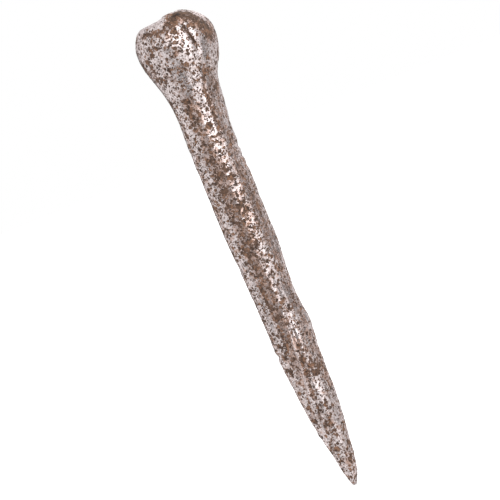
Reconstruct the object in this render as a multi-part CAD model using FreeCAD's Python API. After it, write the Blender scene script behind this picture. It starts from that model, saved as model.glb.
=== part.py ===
"""A rail spike: one forged piece with a lipped, two-lobed head, a worn square shank and a four-sided point.

Millimetres. The origin is on the shank's axis, at the level where the lip's underside meets the shank.
+Z runs up the shank to the head, and +Y points the way the lip does, over the rail's foot.
The spike is one skin lofted through level sections.
The rail foot's seat and the fold in the head are cut from it.
"""

import FreeCAD, Part
import math
import os

# Levels along the shank
HEAD_TOP = 22.0
HEAD_WIDEST = 11.5
TIP = -150.0

# Half widths of the section as (level, size), from the bottom up.
# The ears are along X, the lip is +Y, and the back is -Y.
# The bar's sizes shrink all of them toward the point.
SHANK_HALF = 7.25
EARS = [(-20.0, SHANK_HALF), (-12.0, 7.6), (-2.0, 9.3), (5.0, 11.9), (HEAD_WIDEST, 12.8)]
LIP = [(-20.0, SHANK_HALF), (-9.0, 8.2), (0.0, 12.2), (4.0, 16.6), (HEAD_WIDEST, 18.0)]
BACK = [(-20.0, SHANK_HALF), (-8.0, 7.8), (2.0, 9.4), (HEAD_WIDEST, 10.8)]
BAR = [(TIP, 0.8), (-146.5, 1.85), (-134.5, 3.6), (-120.0, 5.35), (-108.0, 5.97)]
BAR += [(-98.0, 6.45), (-82.0, 6.42), (-52.0, SHANK_HALF)]

# Squareness of the section as (level, exponent): 2 is an ellipse, and more is squarer
SQUARENESS = [(TIP, 2.4), (-136.0, 3.6), (-90.0, 3.4), (-20.0, 3.2), (HEAD_WIDEST, 2.25)]

# Sideways drift of the section's centre as (level, size), along the direction SIDE_DEG from +X
SIDE_DEG = 31.0
DRIFT = [(TIP, 0.8), (-143.0, 1.15), (-131.0, 0.65), (-113.0, 0.35), (-102.0, -0.05)]
DRIFT += [(-80.0, 0.0), (-24.0, 0.0), (-12.0, 0.7), (10.0, 0.4)]

# One side of the shank is swollen where the point's forging begins
SWELL_LEVEL = -91.5
SWELL_HEIGHT = 0.9
SWELL_LENGTH = 4.5

# The rail's foot bears on a flat of the shank and on the underside of the lip
FLAT_Y = 7.15
FLAT_BOTTOM = -78.0
SEAT_RISE_DEG = 14.0

# The fold: left of it the head's top is a lower, sloping lobe, and right of it the higher lobe leans back
FOLD_OFFSET = 1.9
FOLD_LEVEL = 20.1
FOLD_OPEN_DEG = 48.0
LOBE_LEAN_DEG = 4.0
LOBE_FALL_DEG = 2.0

# The crease runs from the fold down the back corner. Its two ends are (level, angle from +X).
CREASE_DEPTH = 1.0
CREASE_SPREAD_DEG = 4.5
CREASE_TOP = (20.0, -36.0)
CREASE_LOW = (8.0, -24.0)
CREASE_FADE = 6.0

# Levels of the sections below the dome, and how finely each section and the dome are described
SECTIONS = [TIP, -146.5, -141.0, -136.0, -129.0, -122.5, -114.0, -106.0, -99.0]
SECTIONS += [-94.5, SWELL_LEVEL, -88.5, -84.0]
SECTIONS += [-72.0, -60.0, -45.0, -30.0, -20.0, -14.0, -8.0, -3.0, 2.0, 6.5, HEAD_WIDEST]
POINTS_AROUND = 40
POINT_GATHERING = 1.4
DOME_STEPS = 7
DOME_LAST_DEG = 80.0

# The cutting blocks only have to be larger than the head
BLOCK = 60.0


def slopes(stations):
    """Slope at each station that lets the curve pass through it without overshooting."""
    steps = [(b[1] - a[1]) / (b[0] - a[0]) for a, b in zip(stations, stations[1:])]
    inner = [2.0 * p * q / (p + q) if p * q > 0.0 else 0.0 for p, q in zip(steps, steps[1:])]
    return [0.0] + inner + [0.0]


def size_at(stations, level):
    """The size at a level, on a smooth curve through the stations. It is constant beyond their ends."""
    if level <= stations[0][0]:
        return stations[0][1]
    if level >= stations[-1][0]:
        return stations[-1][1]
    tangents = slopes(stations)
    i = max(k for k, (low, _) in enumerate(stations[:-1]) if low <= level)
    (low, size_low), (high, size_high) = stations[i], stations[i + 1]
    span = high - low
    t = (level - low) / span
    rise = size_low + (size_high - size_low) * t * t * (3.0 - 2.0 * t)
    bend = span * t * (1.0 - t) * (tangents[i] * (1.0 - t) - tangents[i + 1] * t)
    return rise + bend


def bell(distance, spread):
    """1 at no distance, falling off smoothly over the spread."""
    return math.exp(-((distance / spread) ** 2))


def crease_angle(level):
    """The angle from +X at which the crease lies. Below its low end it runs straight down."""
    (top, top_angle), (low, low_angle) = CREASE_TOP, CREASE_LOW
    share = min(1.0, max(0.0, (level - low) / (top - low)))
    return low_angle + (top_angle - low_angle) * share


def crease_depth(level, away_deg):
    """How far the crease is pressed in at a level, this many degrees away from its bottom."""
    fade = min(1.0, max(0.0, (level - CREASE_LOW[0] + CREASE_FADE) / CREASE_FADE))
    return CREASE_DEPTH * fade**2 * bell(away_deg, CREASE_SPREAD_DEG)


def swell_height(level, angle_deg):
    """How far the swelling stands out of the shank at a level and an angle round the axis."""
    facing = max(0.0, math.cos(math.radians(angle_deg - SIDE_DEG)))
    return SWELL_HEIGHT * bell(level - SWELL_LEVEL, SWELL_LENGTH) * facing**2


def section(level, profile_level, shrink):
    """The closed wire at a level, with the half widths of profile_level times shrink."""
    bar = size_at(BAR, profile_level) / SHANK_HALF
    ear = size_at(EARS, profile_level) * bar * shrink
    lip = size_at(LIP, profile_level) * bar * shrink
    back = size_at(BACK, profile_level) * bar * shrink
    power = size_at(SQUARENESS, profile_level)
    drift = size_at(DRIFT, profile_level)
    side = math.radians(SIDE_DEG)
    points = []
    for i in range(POINTS_AROUND):
        part_turn = 2.0 * i / POINTS_AROUND - 1.0
        away_deg = 180.0 * math.copysign(abs(part_turn) ** POINT_GATHERING, part_turn)
        angle_deg = crease_angle(level) + away_deg
        c, s = math.cos(math.radians(angle_deg)), math.sin(math.radians(angle_deg))
        reach_y = lip if s > 0.0 else back
        radius = (abs(c / ear) ** power + abs(s / reach_y) ** power) ** (-1.0 / power)
        radius += swell_height(level, angle_deg)
        radius -= crease_depth(level, away_deg) * shrink
        x = radius * c + drift * math.cos(side)
        y = radius * s + drift * math.sin(side)
        points.append(FreeCAD.Vector(x, y, level))
    curve = Part.BSplineCurve()
    curve.interpolate(Points=points, PeriodicFlag=True)
    return Part.Wire([curve.toShape()])


def skin():
    """The whole spike as one lofted solid, from the tip to the crown."""
    wires = [section(level, level, 1.0) for level in SECTIONS]
    last = math.radians(DOME_LAST_DEG)
    for i in range(1, DOME_STEPS + 1):
        turn = last * i / DOME_STEPS
        level = HEAD_WIDEST + (HEAD_TOP - HEAD_WIDEST) * math.sin(turn) / math.sin(last)
        wires.append(section(level, HEAD_WIDEST, math.cos(turn)))
    return Part.makeLoft(wires, True, False)


def rail_foot():
    """The space that the rail's foot takes: in front of the shank's flat and under the lip."""
    rise = BLOCK * math.tan(math.radians(SEAT_RISE_DEG))
    far_y = FLAT_Y + BLOCK
    corners = [(FLAT_Y, FLAT_BOTTOM), (far_y, FLAT_BOTTOM), (far_y, rise), (FLAT_Y, 0.0)]
    outline = Part.makePolygon([FreeCAD.Vector(-BLOCK / 2, y, z) for y, z in corners + corners[:1]])
    return Part.Face(outline).extrude(FreeCAD.Vector(BLOCK, 0, 0))


def above_lobe():
    """The space over the head's lower lobe, up to the fold."""
    drop = BLOCK * math.tan(math.radians(LOBE_LEAN_DEG))
    lean = BLOCK * math.tan(math.radians(FOLD_OPEN_DEG))
    corners = [(0.0, 0.0), (lean, BLOCK), (-BLOCK, BLOCK), (-BLOCK, -drop)]
    outline = Part.makePolygon([FreeCAD.Vector(x, -BLOCK / 2, z) for x, z in corners + corners[:1]])
    block = Part.Face(outline).extrude(FreeCAD.Vector(0, BLOCK, 0))
    block.rotate(FreeCAD.Vector(0, 0, 0), FreeCAD.Vector(1, 0, 0), LOBE_FALL_DEG)
    block.translate(FreeCAD.Vector(FOLD_OFFSET, 0, FOLD_LEVEL))
    block.rotate(FreeCAD.Vector(0, 0, 0), FreeCAD.Vector(0, 0, 1), SIDE_DEG)
    return block


def spike():
    return skin().cut(rail_foot()).cut(above_lobe())


def main():
    os.makedirs("parts", exist_ok=True)
    spike().exportStep("parts/spike.step")


main()
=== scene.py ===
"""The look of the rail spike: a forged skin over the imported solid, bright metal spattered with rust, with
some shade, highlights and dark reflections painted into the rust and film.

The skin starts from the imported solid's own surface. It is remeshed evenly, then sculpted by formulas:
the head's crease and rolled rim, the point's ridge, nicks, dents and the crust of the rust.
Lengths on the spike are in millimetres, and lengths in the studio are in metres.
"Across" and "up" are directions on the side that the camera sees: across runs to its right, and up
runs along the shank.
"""

import math

import bpy
import numpy as np
from mathutils import Matrix, Vector


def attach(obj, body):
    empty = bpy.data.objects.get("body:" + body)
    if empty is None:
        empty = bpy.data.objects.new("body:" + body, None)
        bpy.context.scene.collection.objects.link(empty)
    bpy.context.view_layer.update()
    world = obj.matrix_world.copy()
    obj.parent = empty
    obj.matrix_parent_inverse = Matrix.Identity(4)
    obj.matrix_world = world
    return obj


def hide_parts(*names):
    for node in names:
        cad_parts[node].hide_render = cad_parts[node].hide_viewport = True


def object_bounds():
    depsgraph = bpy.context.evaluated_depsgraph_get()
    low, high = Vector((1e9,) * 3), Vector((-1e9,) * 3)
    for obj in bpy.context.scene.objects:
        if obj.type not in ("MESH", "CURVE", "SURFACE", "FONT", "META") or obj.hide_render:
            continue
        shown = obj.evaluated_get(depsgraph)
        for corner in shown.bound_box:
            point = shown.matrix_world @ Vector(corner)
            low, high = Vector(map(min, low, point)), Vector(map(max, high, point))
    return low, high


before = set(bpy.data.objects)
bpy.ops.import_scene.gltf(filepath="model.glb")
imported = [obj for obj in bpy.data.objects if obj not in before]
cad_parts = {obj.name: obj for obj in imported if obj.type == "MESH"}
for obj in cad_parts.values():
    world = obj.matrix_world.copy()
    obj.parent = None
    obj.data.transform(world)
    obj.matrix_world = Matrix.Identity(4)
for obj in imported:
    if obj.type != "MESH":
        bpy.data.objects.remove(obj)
cad_low, cad_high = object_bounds()

MM = 0.001

# The side that the camera sees, as an azimuth round the shank, and how far the spike leans in the picture
SEEN_FROM_DEG = 31.0
SEEN_FROM_ABOVE_DEG = 5.0
LEAN_DEG = 22.4

# The lens, and the picture's width and centre as (across, up), in millimetres at the spike
LENS_MM = 110.0
FRAME_WIDTH = 168.0
FRAME_CENTRE = (-1.95, -62.0)

ACROSS = np.array([math.cos(math.radians(SEEN_FROM_DEG)), math.sin(math.radians(SEEN_FROM_DEG)), 0.0])
TOWARD = np.array([math.sin(math.radians(SEEN_FROM_DEG)), -math.cos(math.radians(SEEN_FROM_DEG)), 0.0])
UP = np.array([0.0, 0.0, 1.0])

# How finely the skin is meshed, and how often it is smoothed
VOXEL = 0.335
SMOOTH_STEPS = 8

# Node trees


class Graph:
    """Adds nodes to a shader tree or a geometry tree. The same calls work in both."""

    def __init__(self, tree):
        self.tree = tree

    def add(self, kind, *inputs, **settings):
        node = self.tree.nodes.new(kind)
        for name, value in settings.items():
            setattr(node, name, value)
        for socket, value in zip(node.inputs, inputs):
            self.feed(socket, value)
        return node

    def feed(self, socket, value):
        if isinstance(value, bpy.types.NodeSocket):
            self.tree.links.new(value, socket)
        elif value is not None:
            socket.default_value = value

    def math(self, operation, *inputs):
        return self.add("ShaderNodeMath", *inputs, operation=operation).outputs[0]

    def vector(self, operation, *inputs):
        node = self.add("ShaderNodeVectorMath", operation=operation)
        vectors = [s for s in node.inputs if s.type == "VECTOR"]
        for socket, value in zip(vectors, inputs):
            self.feed(socket, value)
        return node

    def scaled(self, vector, factor):
        node = self.add("ShaderNodeVectorMath", operation="SCALE")
        self.feed(node.inputs[0], vector)
        self.feed(node.inputs["Scale"], factor)
        return node.outputs[0]

    def split(self, vector):
        return self.add("ShaderNodeSeparateXYZ", vector).outputs

    def blend_in(self, value, start, end, low=0.0, high=1.0):
        """low before start, high after end, and smooth between them."""
        node = self.add("ShaderNodeMapRange", value, start, end, low, high, interpolation_type="SMOOTHSTEP")
        return node.outputs[0]

    def noise(self, place, size, detail=2.0, rough=0.5):
        """Soft noise from 0 to 1, whose lumps are about size across."""
        node = self.add("ShaderNodeTexNoise")
        for name, value in (("Vector", place), ("Scale", 1.0 / size), ("Detail", detail)):
            self.feed(node.inputs[name], value)
        self.feed(node.inputs["Roughness"], rough)
        return node

    def cells(self, place, size):
        """Distance to the nearest of a scatter of points about size apart, and a random colour for each."""
        node = self.add("ShaderNodeTexVoronoi")
        self.feed(node.inputs["Vector"], place)
        self.feed(node.inputs["Scale"], 1.0 / size)
        return node


def shifted(graph, place, x, y, z):
    """A place moved aside, so that two patterns of one kind don't coincide."""
    return graph.vector("ADD", place, (x, y, z)).outputs[0]


def around_middle(graph, value, amount):
    """A value from 0 to 1 turned into one from minus half the amount to plus half of it."""
    return graph.math("MULTIPLY", graph.math("SUBTRACT", value, 0.5), amount)


# Dots and blots of rust, as (spacing, least and most radius against the spacing, how much the lift adds).
# A least radius below 0 leaves some of them out.
LARGE_DOTS = (1.30, 0.12, 0.52, 0.35)
SMALL_DOTS = (0.66, 0.12, 0.56, 0.25)
BLOTS = (3.3, -0.08, 0.42, 0.15)

# How soft a dot's edge is, against the dot's own spacing
DOT_EDGE = 0.035

# Ragged flakes: the size of their noise, and the levels of it where they begin and are whole
FLAKE_SIZE = 1.7
FLAKE_EDGE = (0.580, 0.595)

# Between these levels the dots thin out toward the point, and the flakes spread slightly
NEAR_POINT = (-100.0, -70.0)


def dots(graph, place, kind, lift):
    """Separate round dots: 1 inside them, 0 outside, and a random value for each dot."""
    spacing, least, most, response = kind
    added = graph.math("MULTIPLY", lift, response)
    cell = graph.cells(place, spacing)
    pick, tone, _ = graph.split(cell.outputs["Color"])
    radius = graph.math("MULTIPLY_ADD", pick, most - least, least)
    radius = graph.math("ADD", radius, added)
    inside = graph.math("SUBTRACT", radius, cell.outputs["Distance"])
    return graph.blend_in(inside, -DOT_EDGE, DOT_EDGE), tone


def rust_lift(graph, place, rust_and_painted_shade):
    """How much thicker or thinner than usual the rust is, with drifts and broken patches."""
    drifts = graph.noise(shifted(graph, place, 70.0, 2.0, 23.0), 8.0).outputs[0]
    broken = graph.noise(shifted(graph, place, 2.0, 55.0, 9.0), 1.6, 3.0, 0.6).outputs[0]
    rusty = graph.math("MAXIMUM", rust_and_painted_shade, 0.0)
    clean = graph.math("MINIMUM", rust_and_painted_shade, 0.0)
    patch = graph.math("MULTIPLY_ADD", rusty, graph.blend_in(broken, 0.38, 0.62, 0.30, 1.25), clean)
    return graph.math("ADD", around_middle(graph, drifts, 0.35), patch)


def fleck_layers(graph, place, rust_and_painted_shade):
    """The rust: how much fine and how much broad rust there is, each from 0 to 1, and a random tone for it.

    place is a position on the skin in millimetres, and the third argument is above 0 where the rust is
    thicker, also where shade is painted as rust.
    Fine rust is small round dots. Broad rust is ragged flakes and torn blots.
    """
    near_point = graph.blend_in(graph.split(place)[2], *NEAR_POINT, 1.0, 0.0)
    lift = rust_lift(graph, place, rust_and_painted_shade)

    jitter = graph.noise(place, 0.55).outputs["Color"]
    jitter = graph.vector("SUBTRACT", jitter, (0.5, 0.5, 0.5)).outputs[0]
    ragged = graph.vector("ADD", place, graph.scaled(jitter, 0.5)).outputs[0]

    fewer = graph.math("MULTIPLY_ADD", near_point, -0.16, lift)
    large, large_tone = dots(graph, ragged, LARGE_DOTS, fewer)
    small, small_tone = dots(graph, shifted(graph, ragged, 13.0, 5.0, 31.0), SMALL_DOTS, fewer)
    fine = graph.math("MAXIMUM", large, small)

    flake = graph.noise(shifted(graph, ragged, 5.0, 40.0, 11.0), FLAKE_SIZE, 5.0, 0.7).outputs[0]
    flake = graph.math("MULTIPLY_ADD", lift, 0.45, flake)
    flake = graph.math("MULTIPLY_ADD", near_point, 0.02, flake)
    flakes = graph.blend_in(flake, *FLAKE_EDGE)
    torn = graph.vector("ADD", ragged, graph.scaled(jitter, 1.3)).outputs[0]
    blots, _ = dots(graph, shifted(graph, torn, 51.0, 14.0, 3.0), BLOTS, lift)
    broad = graph.math("MAXIMUM", flakes, blots)

    tone = graph.math("MULTIPLY", graph.math("ADD", large_tone, small_tone), 0.5)
    return fine, broad, tone


# The skin


def mesh_arrays(mesh):
    """The mesh's points and outward normals as arrays, in millimetres."""
    points = np.empty(len(mesh.vertices) * 3, np.float32)
    mesh.vertices.foreach_get("co", points)
    normals = np.empty(len(mesh.vertices) * 3, np.float32)
    mesh.vertex_normals.foreach_get("vector", normals)
    return points.reshape(-1, 3).astype(float) / MM, normals.reshape(-1, 3).astype(float)


def set_points(mesh, points):
    mesh.vertices.foreach_set("co", (points * MM).astype(np.float32).ravel())
    mesh.update()


def mark(mesh, name, values):
    """Gives each point a value that the node trees can read."""
    attribute = mesh.attributes.new(name, "FLOAT", "POINT")
    attribute.data.foreach_set("value", values.astype(np.float32))


def applied(piece):
    """Replaces a piece's mesh with what its modifiers make of it."""
    graph = bpy.context.evaluated_depsgraph_get()
    made = bpy.data.meshes.new_from_object(piece.evaluated_get(graph), depsgraph=graph)
    old = piece.data
    piece.modifiers.clear()
    piece.data = made
    bpy.data.meshes.remove(old)


def even_skin(node):
    """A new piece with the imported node's surface, remeshed into even quads and smoothed."""
    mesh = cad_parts[node].data.copy()
    mesh.materials.clear()
    skin = bpy.data.objects.new("spike_skin", mesh)
    bpy.context.scene.collection.objects.link(skin)
    weld = skin.modifiers.new("weld", "WELD")
    weld.merge_threshold = 0.001 * MM
    remesh = skin.modifiers.new("remesh", "REMESH")
    remesh.mode = "VOXEL"
    remesh.voxel_size = VOXEL * MM
    smooth = skin.modifiers.new("smooth", "SMOOTH")
    smooth.factor = 0.5
    smooth.iterations = SMOOTH_STEPS
    applied(skin)
    return skin


def bell(distance, spread):
    """1 at no distance, falling off smoothly over the spread."""
    return np.exp(-((distance / spread) ** 2))


def step(value, start, end):
    """0 before start, 1 after end, and smooth between them."""
    t = np.clip((value - start) / (end - start), 0.0, 1.0)
    return t * t * (3.0 - 2.0 * t)


def stretch(level, begins, whole, fades, ends):
    """1 on a stretch of the spike, and 0 below it and above it."""
    return step(level, begins, whole) * (1.0 - step(level, fades, ends))


def along(level, stations):
    """The across position at each level, through (level, across) stations from the top down."""
    levels = [s[0] for s in stations][::-1]
    sides = [s[1] for s in stations][::-1]
    return np.interp(level, levels, sides)


def ovals(across, up, features):
    """The sum of ovals, each given as (across, up, half width, half height, how much in its middle)."""
    total = np.zeros(len(up))
    for middle_across, middle_up, wide, tall, amount in features:
        away = ((across - middle_across) / wide) ** 2 + ((up - middle_up) / tall) ** 2
        total += amount * np.exp(-away)
    return total


# Lines down the side that the camera sees, as (up, across) from the top down
CREASE = [(20.4, 3.6), (16.8, 5.6), (13.1, 5.9), (11.6, 6.5), (8.2, 7.2), (2.0, 7.4)]
CREASE += [(-6.0, 4.6), (-26.0, 3.7)]
SOLID_GROOVE = [(20.0, 4.5), (17.0, 5.4), (14.0, 6.3), (8.0, 7.7), (2.0, 7.7)]
RIDGE = [(-82.0, 0.6), (-96.0, -0.5), (-100.0, -0.8), (-115.0, -2.1), (-128.0, -2.5)]

# Stretches along the spike, as the levels where each begins, is whole, starts to fade and ends
GROOVE_STRETCH = (5.0, 10.0, 18.0, 20.5)
CREASE_DEEP = (6.5, 8.5, 11.5, 14.0)
CREASE_SHALLOW = (12.0, 14.0, 16.5, 18.5)
NECK = (-27.0, -20.0, -2.0, 4.0)
CORNER_STRETCH = (-100.0, -85.0, -12.0, -2.0)
RIDGE_STRETCH = (-130.0, -112.0, -90.0, -80.0)

# The same for the rust and the brown film
# Where the painted shade in the crease is fainter, higher up
CREASE_SHADE_SHALLOW = (12.0, 14.0, 16.0, 18.0)
STRIPE_STRETCH = (-108.0, -90.0, -12.0, -2.0)
UPPER_SHANK = (-70.0, -55.0, -30.0, -18.0)
# Where the point's ridge is painted: a clean highlight on it and shade beside it
PAINTED_RIDGE_STRETCH = (-126.0, -116.0, -98.0, -94.0)
FILM_STRETCH = (-125.0, -105.0, -10.0, 0.0)

# How far a point has to face the camera before it is sculpted, and before it takes that side's rust
SCULPTED_FRONT = (0.0, 0.35)
RUSTED_FRONT = (-0.35, 0.55)

# Stripes of rust down the shank, as (across, half width, how much). Below 0 the metal is cleaner.
STRIPES = [(-1.8, 2.2, 0.07), (-3.0, 1.1, 0.10), (-5.4, 1.0, -0.10), (7.0, 0.8, -0.08)]

# Brown film on the shank's metal, laid in stripes where the shank shows dark reflected bands, so partly a
# painted dark reflection, as (across, half width, how thick)
FILM_AND_REFLECTION_STRIPES = [(-1.7, 1.7, 1.2), (5.8, 1.4, 0.8)]

# Where rust gathers on the side that the camera sees, as (across, up, half width, half height, how much).
# Some of these are painted shade or a painted dark reflection, as marked.
RUST_AND_SHADE_PATCHES = [
    (1.0, 12.5, 4.5, 5.0, 0.15),
    # Painted shade in the hollow under the rolled rim, in this patch and the next
    (-5.5, 16.8, 3.2, 0.80, 0.50),
    (-1.3, 15.5, 2.0, 0.90, 0.40),
    # Painted shadow under the fold between the lobes
    (2.8, 16.9, 2.4, 1.3, 0.95),
    # Part of the dome's painted dark reflection
    (9.0, 14.6, 1.4, 2.2, 0.45),
    (1.2, 2.4, 1.5, 1.3, 0.40),
    (-9.0, 4.6, 1.6, 2.4, 0.30),
    (-6.0, 1.0, 2.4, 0.9, 0.28),
    (7.6, -1.4, 2.2, 0.55, 0.38),
    (8.2, -6.0, 1.6, 5.0, 0.30),
    (0.6, 7.2, 1.4, 0.9, 0.40),
    (4.6, 0.6, 2.0, 2.4, 0.14),
    (4.0, 19.0, 3.2, 1.4, 0.55),
    (2.0, -35.0, 1.6, 5.0, 0.06),
    (2.0, -47.0, 1.8, 4.5, 0.18),
    (1.8, -57.0, 1.6, 4.0, 0.05),
    (0.6, -102.2, 1.0, 1.0, 0.50),
    (2.7, -104.7, 1.2, 1.2, 0.55),
    (5.3, -107.0, 0.9, 0.9, 0.45),
    (0.6, -126.0, 1.4, 1.6, 0.45),
    (2.2, -141.0, 1.2, 1.6, 0.50),
]

# The same on the hidden side
HIDDEN_PATCHES = [
    (2.0, -9.0, 4.5, 6.0, 0.35),
    (-4.0, 14.0, 4.0, 4.5, 0.30),
    (-2.5, -58.0, 3.0, 14.0, 0.25),
    (1.5, -118.0, 2.5, 9.0, 0.30),
]

# The two lobes' crowns, as (across, up, half width, half height, how far out)
LOBES = [(-2.6, 11.2, 4.2, 5.0, 0.9), (10.2, 12.8, 2.8, 4.4, 0.7)]

# The rolled rim round the top of the lower lobe and the hollow under it, as (up, half height, how far out)
RIM_LINES = [(17.9, 0.65, 0.34), (16.6, 0.75, -0.34)]

# The dome's shoulder slopes down to the fold: what is filled in and what is cut away, as ovals
SHOULDER_FILL = [(1.3, 20.4, 1.4, 1.2, 0.7)]
SHOULDER_CUT = [(4.0, 21.6, 1.7, 1.1, 0.7)]

# The shank's front corner is worn round: its middle, half width and depth, and how it wanders
# along the shank, as (how far, over what length)
CORNER = (2.3, 1.7, 0.45)
CORNER_WANDER = [(0.7, 17.0), (0.4, 7.3)]

# Hammered facets above the swelling and on the point, as (across, up, half width, half height, depth)
FACETS = [(2.3, -77.0, 3.2, 10.0, 0.75), (-1.6, -103.5, 1.3, 3.0, 0.40)]
FACETS += [(2.2, -110.5, 1.5, 3.2, 0.50), (1.6, -130.5, 1.2, 2.6, 0.35)]

# The brown arc inside the dome's outline, rust painted as a dark reflection: its middle as (across, up),
# and its half width and half height
DOME_ARC = (4.5, 9.0, 8.0, 9.8)

# Nicks in the two edges of the shank, as (up, side, depth, half height)
NICKS = [(-28.0, 1, 0.35, 0.9), (-31.5, 1, 0.45, 0.7), (-35.0, 1, 0.30, 1.2), (-46.0, 1, 0.25, 1.0)]
NICKS += [(-99.0, -1, 0.50, 1.1), (-25.0, -1, 0.20, 1.6), (-66.0, -1, 0.20, 1.8), (-131.0, -1, 0.20, 1.0)]


def shank_rust_and_ridge_light(across, up):
    """Stripes, more rust high on the shank and near the point, and on the point's ridge a clean crest as a
    painted highlight, with rust beside it as painted shade.
    """
    rust = 0.06 * stretch(up, *UPPER_SHANK) + 0.03 * bell(up + 102.0, 14.0)
    for middle, wide, amount in STRIPES:
        rust += amount * bell(across - middle, wide) * stretch(up, *STRIPE_STRETCH)
    away = across - along(up, RIDGE)
    # Painted highlight on the ridge, and painted shade beside it
    ridge_light_and_shade = 0.30 * bell(away - 0.95, 0.30) - 0.28 * bell(away, 0.36)
    return rust + ridge_light_and_shade * stretch(up, *PAINTED_RIDGE_STRETCH)


def dome_painted_reflection(across, up):
    """A brown arc of rust that follows the dome's outline, painted as the dome's dark reflected band, with
    cleaner metal outside it.
    """
    arc_across, arc_up, wide, tall = DOME_ARC
    ring = np.hypot((across - arc_across) / wide, (up - arc_up) / tall)
    rust = 0.50 * bell(ring - 1.0, 0.13) + 0.42 * step(ring, 0.60, 0.95)
    rust -= 0.55 * step(ring, 1.04, 1.18) * step(up, 12.0, 16.0)
    return rust * step(across, 2.0, 6.0) * step(up, 5.0, 10.0)


def head_rust_and_shade(across, up):
    """The dome's arc of rust painted as a dark reflection, near-black rust painted as shade in the crease,
    the crease's line down the neck, a clean rim, and less rust than the shank.
    """
    away = across - along(up, CREASE)
    rust = dome_painted_reflection(across, up) - 0.08 * step(up, -14.0, -4.0)
    rust += 0.30 * bell(away, 0.55) * stretch(up, *NECK)
    # Rust thick enough to turn nearly black along the crease: painted shade
    crease_shade = 1.35 * stretch(up, *CREASE_DEEP) + 0.45 * stretch(up, *CREASE_SHADE_SHALLOW)
    rust += crease_shade * bell(away, 0.27)
    clean_rim = bell(up - 18.9, 1.0) * (1.0 - step(across, -1.0, 2.5)) * step(across, -10.5, -8.0)
    return rust - 0.70 * clean_rim


def hidden_rust(points, normals):
    """More rust in the corner under the lip, and patches of it on the hidden side."""
    across = points @ ACROSS
    up = points[:, 2]
    under_lip = step(points[:, 1], 5.5, 7.5) * bell(up - 0.5, 2.2)
    behind = step(normals @ -TOWARD, 0.0, 0.6)
    return 0.45 * under_lip + behind * ovals(across, up, HIDDEN_PATCHES)


def thick_rust_and_shade(points, normals):
    """How much thicker the rust is at each point, with shade and dark reflections painted in as rust in
    places. Below 0 it is thinner.
    """
    across = points @ ACROSS
    up = points[:, 2]
    front = step(normals @ TOWARD, *RUSTED_FRONT)
    seen = shank_rust_and_ridge_light(across, up) + head_rust_and_shade(across, up) + ovals(across, up, RUST_AND_SHADE_PATCHES)
    return front * seen + hidden_rust(points, normals)


def film_and_dark_reflection(points, normals):
    """How thick the brown film is that lies on the metal between the flecks: partly a real film, partly a
    painted dark reflection, laid in stripes where the shank shows dark reflected bands.
    """
    across = points @ ACROSS
    front = step(normals @ TOWARD, *RUSTED_FRONT)
    stripes = [thick * bell(across - middle, wide) for middle, wide, thick in FILM_AND_REFLECTION_STRIPES]
    return front * stretch(points[:, 2], *FILM_STRETCH) * np.maximum(*stripes)


def crease_relief(across, up):
    """The crease, and the line that runs on from it down the neck.

    The solid's groove is broader than the real crease. Most of it is filled, and a fine line is pressed
    beside it.
    """
    away = across - along(up, CREASE)
    height = 0.75 * bell(across - along(up, SOLID_GROOVE), 0.9) * stretch(up, *GROOVE_STRETCH)
    pressed = 0.62 * stretch(up, *CREASE_DEEP) + 0.25 * stretch(up, *CREASE_SHALLOW)
    height -= pressed * bell(away, 0.32)
    return height - 0.30 * bell(away, 0.5) * stretch(up, *NECK)


def corner_relief(across, up):
    """The shank's worn front corner."""
    middle, wide, depth = CORNER
    for reach, length in CORNER_WANDER:
        middle = middle + reach * np.sin(up / length)
    return -depth * bell(across - middle, wide) * stretch(up, *CORNER_STRETCH)


def rim_relief(across, up):
    """The rolled rim and the hollow under it, as far as the fold."""
    height = np.zeros(len(up))
    for level, tall, out in RIM_LINES:
        height += out * bell(up - level, tall)
    return height * (1.0 - step(across, 0.5, 2.5))


def ridge_relief(across, up):
    """The ridge where two faces of the point meet, and the valley beside it."""
    away = across - along(up, RIDGE)
    height = 0.62 * bell(away, 0.50) - 0.55 * bell(away - 1.3, 0.8)
    return height * stretch(up, *RIDGE_STRETCH)


def shoulder_relief(across, up, normals):
    """The dome's shoulder, and its top sunk a little."""
    facing_up = step(normals[:, 2], 0.5, 0.9)
    height = ovals(across, up, SHOULDER_FILL) * facing_up - ovals(across, up, SHOULDER_CUT)
    return height - 0.25 * step(up, 19.5, 21.5) * step(across, 2.0, 5.0)


def nick_relief(up, normals):
    """The nicks, each in the edge that faces right (side 1) or left (side -1)."""
    height = np.zeros(len(up))
    for level, side, depth, tall in NICKS:
        edge = step(side * (normals @ ACROSS), 0.55, 0.95)
        height -= depth * edge * bell(up - level, tall)
    return height


def sculpt(mesh):
    """Presses and raises the skin by formulas of where each point is, and marks where the rust gathers and
    where shade is painted in as rust.
    """
    points, normals = mesh_arrays(mesh)
    across = points @ ACROSS
    up = points[:, 2]
    seen = crease_relief(across, up) + corner_relief(across, up)
    seen += rim_relief(across, up) + ridge_relief(across, up)
    seen += ovals(across, up, LOBES) - ovals(across, up, FACETS)
    height = step(normals @ TOWARD, *SCULPTED_FRONT) * seen
    height += shoulder_relief(across, up, normals) + nick_relief(up, normals)
    mark(mesh, "rust_and_painted_shade", thick_rust_and_shade(points, normals))
    mark(mesh, "film_and_dark_reflection", film_and_dark_reflection(points, normals))
    set_points(mesh, points + normals * height[:, None])


# Forging marks all over, as (size, height): dents, small waves, and flutes drawn out along the shank
DENTS = (9.0, 0.6)
WAVES = (2.6, 0.25)
FLUTES = (2.2, 0.6)
FLUTE_SQUEEZE = (1.0, 1.0, 0.15)

# How far the rust stands out of the metal, and how high the metal's grain is
CRUST = 0.07
GRAIN = 0.035


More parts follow.
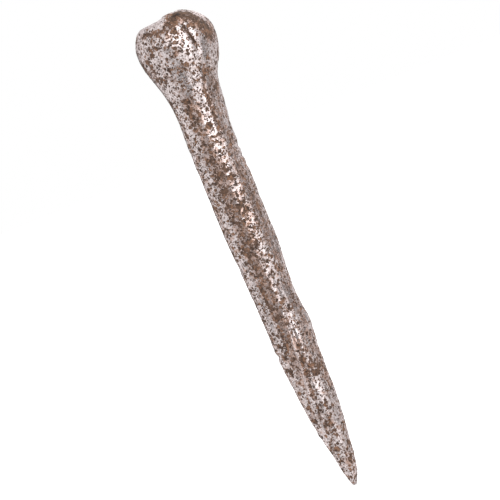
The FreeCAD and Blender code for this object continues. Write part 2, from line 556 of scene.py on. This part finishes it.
def relief(skin):
    """Forging marks and the crust of the rust, as geometry. Keeps each point's rest position."""
    tree = bpy.data.node_groups.new("relief", "GeometryNodeTree")
    tree.interface.new_socket("Geometry", in_out="INPUT", socket_type="NodeSocketGeometry")
    tree.interface.new_socket("Geometry", in_out="OUTPUT", socket_type="NodeSocketGeometry")
    graph = Graph(tree)
    source = tree.nodes.new("NodeGroupInput")
    place = graph.scaled(graph.add("GeometryNodeInputPosition").outputs[0], 1.0 / MM)
    rust_and_painted_shade = graph.add("GeometryNodeInputNamedAttribute", "rust_and_painted_shade", data_type="FLOAT").outputs[0]
    _, broad, _ = fleck_layers(graph, place, rust_and_painted_shade)
    dent_size, dent_height = DENTS
    wave_size, wave_height = WAVES
    flute_size, flute_height = FLUTES
    dents = graph.noise(place, dent_size, 1.0).outputs[0]
    waves = graph.noise(place, wave_size).outputs[0]
    squeezed = graph.vector("MULTIPLY", place, FLUTE_SQUEEZE).outputs[0]
    drawn = graph.noise(shifted(graph, squeezed, 4.0, 6.0, 2.0), flute_size, 1.0).outputs[0]
    on_shank = graph.blend_in(graph.split(place)[2], -22.0, -6.0, 1.0, 0.0)
    height = around_middle(graph, dents, dent_height)
    flutes = around_middle(graph, drawn, flute_height)
    height = graph.math("MULTIPLY_ADD", flutes, on_shank, height)
    height = graph.math("MULTIPLY_ADD", graph.math("SUBTRACT", waves, 0.5), wave_height, height)
    height = graph.math("MULTIPLY_ADD", broad, CRUST, height)
    normal = graph.add("GeometryNodeInputNormal").outputs[0]
    offset = graph.scaled(graph.scaled(normal, height), MM)

    keep = graph.add("GeometryNodeStoreNamedAttribute", data_type="FLOAT_VECTOR", domain="POINT")
    graph.feed(keep.inputs["Geometry"], source.outputs[0])
    graph.feed(keep.inputs["Name"], "rest_mm")
    graph.feed(keep.inputs["Value"], place)
    move = graph.add("GeometryNodeSetPosition")
    graph.feed(move.inputs["Geometry"], keep.outputs[0])
    graph.feed(move.inputs["Offset"], offset)
    sink = tree.nodes.new("NodeGroupOutput")
    graph.feed(sink.inputs[0], move.outputs[0])
    skin.modifiers.new("relief", "NODES").node_group = tree
    applied(skin)


# Materials


def new_material(name):
    material = bpy.data.materials.new(name)
    material.use_nodes = True
    tree = material.node_tree
    return material, Graph(tree), tree.nodes["Principled BSDF"]


def mixed(graph, share, first, second):
    """A colour that is the first at share 0 and the second at share 1."""
    node = graph.add("ShaderNodeMix", data_type="RGBA")
    graph.feed(node.inputs["Factor"], share)
    for socket, value in zip([s for s in node.inputs if s.type == "RGBA"], (first, second)):
        graph.feed(socket, value)
    return [s for s in node.outputs if s.type == "RGBA"][0]


def mixed_value(graph, share, first, second):
    """A number that is the first at share 0 and the second at share 1."""
    node = graph.add("ShaderNodeMix", data_type="FLOAT")
    graph.feed(node.inputs["Factor"], share)
    graph.feed(node.inputs["A"], first)
    graph.feed(node.inputs["B"], second)
    return node.outputs[0]


def fleck_and_shade_colour(graph, place, rust_and_painted_shade, fleck_tone):
    """Dark and mid brown in clouds, some flecks reddish, and nearly black where rust gathers most, which is
    mostly painted shade in the crease and under the fold.
    """
    tone = graph.noise(place, 0.9, 3.0, 0.6).outputs[0]
    dark = (0.040, 0.025, 0.019, 1.0)
    brown = (0.105, 0.062, 0.043, 1.0)
    reddish = (0.200, 0.110, 0.070, 1.0)
    # Nearly black, for painted shade
    painted_shade_black = (0.016, 0.010, 0.009, 1.0)
    colour = mixed(graph, graph.blend_in(tone, 0.35, 0.62), dark, brown)
    colour = mixed(graph, graph.blend_in(fleck_tone, 0.5, 0.85), colour, reddish)
    return mixed(graph, graph.blend_in(rust_and_painted_shade, 0.9, 1.4), colour, painted_shade_black)


def metal_colour(graph, place, rust_and_painted_shade):
    """Bright and dull metal in fine clouds, under a film that is thicker near rust and in stripes on the
    shank, which are partly a painted dark reflection.
    """
    bright = (0.76, 0.68, 0.68, 1.0)
    dull = (0.39, 0.325, 0.31, 1.0)
    film_brown = (0.43, 0.265, 0.200, 1.0)
    film_grey = (0.39, 0.295, 0.270, 1.0)
    tone = graph.noise(shifted(graph, place, 3.0, 19.0, 5.0), 0.7, 4.0, 0.75).outputs[0]
    metal = mixed(graph, graph.blend_in(tone, 0.42, 0.62), bright, dull)
    film = graph.noise(shifted(graph, place, 17.0, 1.0, 8.0), 2.4, 4.0, 0.7).outputs[0]
    film = graph.math("MULTIPLY_ADD", rust_and_painted_shade, 0.6, film)
    # Stripes of film that are partly a painted dark reflection
    thick = graph.add("ShaderNodeAttribute", attribute_name="film_and_dark_reflection").outputs["Fac"]
    film = graph.math("MULTIPLY_ADD", thick, 0.16, film)
    film_tone = graph.noise(shifted(graph, place, 9.0, 27.0, 1.0), 1.9).outputs[0]
    film_colour = mixed(graph, graph.blend_in(film_tone, 0.40, 0.60), film_brown, film_grey)
    return mixed(graph, graph.blend_in(film, 0.48, 0.66, 0.0, 0.75), metal, film_colour)


def rusted_steel():
    material, graph, surface = new_material("rusted_steel")
    place = graph.add("ShaderNodeAttribute", attribute_name="rest_mm").outputs["Vector"]
    rust_and_painted_shade = graph.add("ShaderNodeAttribute", attribute_name="rust_and_painted_shade").outputs["Fac"]
    fine, broad, fleck_tone = fleck_layers(graph, place, rust_and_painted_shade)
    rust = graph.math("MAXIMUM", fine, broad)

    flecks = fleck_and_shade_colour(graph, place, rust_and_painted_shade, fleck_tone)
    metal = metal_colour(graph, place, rust_and_painted_shade)
    graph.feed(surface.inputs["Base Color"], mixed(graph, rust, metal, flecks))
    graph.feed(surface.inputs["Metallic"], graph.math("SUBTRACT", 1.0, rust))
    graph.feed(surface.inputs["Specular IOR Level"], 0.25)
    graph.feed(surface.inputs["Specular Tint"], (0.72, 0.68, 0.68, 1.0))
    smear = graph.noise(place, 1.1, 3.0, 0.6).outputs[0]
    metal_rough = graph.blend_in(smear, 0.3, 0.7, 0.22, 0.36)
    graph.feed(surface.inputs["Roughness"], mixed_value(graph, rust, metal_rough, 0.72))

    grain = graph.noise(place, 0.35, 3.0, 0.6).outputs[0]
    height = graph.math("MULTIPLY_ADD", grain, GRAIN, graph.math("MULTIPLY", rust, CRUST))
    bump = graph.add("ShaderNodeBump")
    graph.feed(bump.inputs["Distance"], MM)
    graph.feed(bump.inputs["Height"], height)
    graph.feed(surface.inputs["Normal"], bump.outputs[0])
    return material


skin = even_skin("spike")
sculpt(skin.data)
skin.data.shade_smooth()
relief(skin)
skin.data.shade_smooth()
skin.data.materials.clear()
skin.data.materials.append(rusted_steel())
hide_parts("spike")
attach(skin, "root")

# The studio

# Strength of the light from all round, on a scale where 1 is white
AMBIENT = 1.1

# Half the side of the square floor
FLOOR_HALF = 6.0

# A card on the floor is lifted a little, so that the two don't share a plane
APRON_LIFT = 0.0005

# The level of the spike that the lamps face
LAMPS_FACE_UP = -40.0


def from_view(azimuth_deg, elevation_deg):
    """The way out to a point of the studio: degrees right of the camera, and degrees above the floor."""
    a = math.radians(SEEN_FROM_DEG + azimuth_deg)
    e = math.radians(elevation_deg)
    return Vector((math.sin(a) * math.cos(e), -math.cos(a) * math.cos(e), math.sin(e)))


def in_view(across, up):
    """A point on the plane through the shank's axis that faces the camera."""
    return Vector((ACROSS * across + UP * up) * MM)


def flat_sheet(name, corners):
    """A new four-cornered piece."""
    mesh = bpy.data.meshes.new(name)
    mesh.from_pydata([tuple(corner) for corner in corners], [], [(0, 1, 2, 3)])
    piece = bpy.data.objects.new(name, mesh)
    bpy.context.scene.collection.objects.link(piece)
    return piece


def floor():
    """A pale floor at the tip's level, made a little brighter for the camera."""
    turns = [(-1, -1), (1, -1), (1, 1), (-1, 1)]
    piece = flat_sheet("floor", [(FLOOR_HALF * x, FLOOR_HALF * y, cad_low.z) for x, y in turns])
    material, graph, surface = new_material("pale_floor")
    graph.feed(surface.inputs["Base Color"], (0.9, 0.9, 0.9, 1.0))
    graph.feed(surface.inputs["Roughness"], 0.9)
    graph.feed(surface.inputs["Specular IOR Level"], 0.0)
    seen = graph.add("ShaderNodeLightPath").outputs["Is Camera Ray"]
    graph.feed(surface.inputs["Emission Color"], (1.0, 1.0, 1.0, 1.0))
    graph.feed(surface.inputs["Emission Strength"], graph.math("MULTIPLY", seen, 0.3))
    piece.data.materials.append(material)


def surroundings():
    """Even light from all round, and pure white for the camera."""
    world = bpy.data.worlds.new("studio")
    bpy.context.scene.world = world
    world.use_nodes = True
    graph = Graph(world.node_tree)
    backdrop = world.node_tree.nodes["Background"]
    seen = graph.add("ShaderNodeLightPath").outputs["Is Camera Ray"]
    graph.feed(backdrop.inputs["Color"], (1.0, 1.0, 1.0, 1.0))
    graph.feed(backdrop.inputs["Strength"], mixed_value(graph, seen, AMBIENT, 1.0))


def across_the_way(azimuth, half_width_deg, distance, height):
    """The two ends of a level line that crosses an azimuth, this far out and this high above the floor."""
    out = from_view(azimuth, 0.0)
    sideways = Vector((-out.y, out.x, 0.0)) * distance * math.tan(math.radians(half_width_deg))
    middle = Vector((0.0, 0.0, cad_low.z)) + out * distance + Vector(UP) * height
    return [middle - sideways, middle + sideways]


def card(name, corners, grey):
    """A matt card that only the metal's reflections show."""
    piece = flat_sheet(name, corners)
    piece.visible_camera = False
    piece.visible_diffuse = False
    piece.visible_shadow = False
    material, graph, surface = new_material(name)
    graph.feed(surface.inputs["Base Color"], (grey, grey, grey, 1.0))
    graph.feed(surface.inputs["Roughness"], 0.9)
    piece.data.materials.append(material)


def flag(name, azimuth, half_width_deg, distance, height, grey):
    """A card standing on the floor."""
    foot = across_the_way(azimuth, half_width_deg, distance, 0.0)
    top = across_the_way(azimuth, half_width_deg, distance, height)
    card(name, foot + top[::-1], grey)


def apron(name, azimuth, half_width_deg, near, far, grey):
    """A card lying on the floor."""
    inner = across_the_way(azimuth, half_width_deg, near, APRON_LIFT)
    outer = across_the_way(azimuth, half_width_deg, far, APRON_LIFT)
    card(name, inner + outer[::-1], grey)


def softbox(name, azimuth, elevation, distance, width, height, radiance):
    """A flat lamp that faces the spike."""
    lamp = bpy.data.lights.new(name, "AREA")
    lamp.shape = "RECTANGLE"
    lamp.size = width
    lamp.size_y = height
    lamp.energy = radiance * width * height * math.pi
    piece = bpy.data.objects.new(name, lamp)
    way = from_view(azimuth, elevation)
    piece.location = in_view(0.0, LAMPS_FACE_UP) + way * distance
    piece.rotation_euler = (-way).to_track_quat("-Z", "Y").to_euler()
    piece.visible_camera = False
    bpy.context.scene.collection.objects.link(piece)


def camera():
    """The camera is turned about its own axis, so that the upright spike leans in the picture."""
    lens = bpy.data.cameras.new("camera")
    lens.lens = LENS_MM
    piece = bpy.data.objects.new("camera", lens)
    bpy.context.scene.collection.objects.link(piece)
    back = from_view(0.0, SEEN_FROM_ABOVE_DEG)
    right = Vector(ACROSS)
    upright = back.cross(right)
    lean = math.radians(LEAN_DEG)
    x = right * math.cos(lean) - upright * math.sin(lean)
    y = right * math.sin(lean) + upright * math.cos(lean)
    distance = FRAME_WIDTH * MM * LENS_MM / lens.sensor_width
    place = Matrix((x, y, back)).transposed().to_4x4()
    place.translation = in_view(*FRAME_CENTRE) + back * distance
    piece.matrix_world = place
    lens.clip_start = 0.01
    bpy.context.scene.camera = piece


floor()
surroundings()
flag("left_flag", azimuth=-36.0, half_width_deg=21.0, distance=0.30, height=0.098, grey=0.08)
apron("left_apron", azimuth=-34.0, half_width_deg=24.0, near=0.03, far=0.14, grey=0.45)
apron("right_apron", azimuth=98.0, half_width_deg=24.0, near=0.03, far=0.16, grey=0.55)
flag("right_flag", azimuth=98.0, half_width_deg=17.0, distance=0.30, height=0.125, grey=0.16)
flag("back_flag", azimuth=205.0, half_width_deg=13.0, distance=0.34, height=0.20, grey=0.08)
softbox("key", azimuth=22.0, elevation=20.0, distance=0.75, width=0.85, height=0.90, radiance=1.5)
softbox("back_light", azimuth=165.0, elevation=30.0, distance=0.75, width=0.40, height=0.60, radiance=1.25)
camera()
bpy.context.scene.view_settings.view_transform = "Standard"
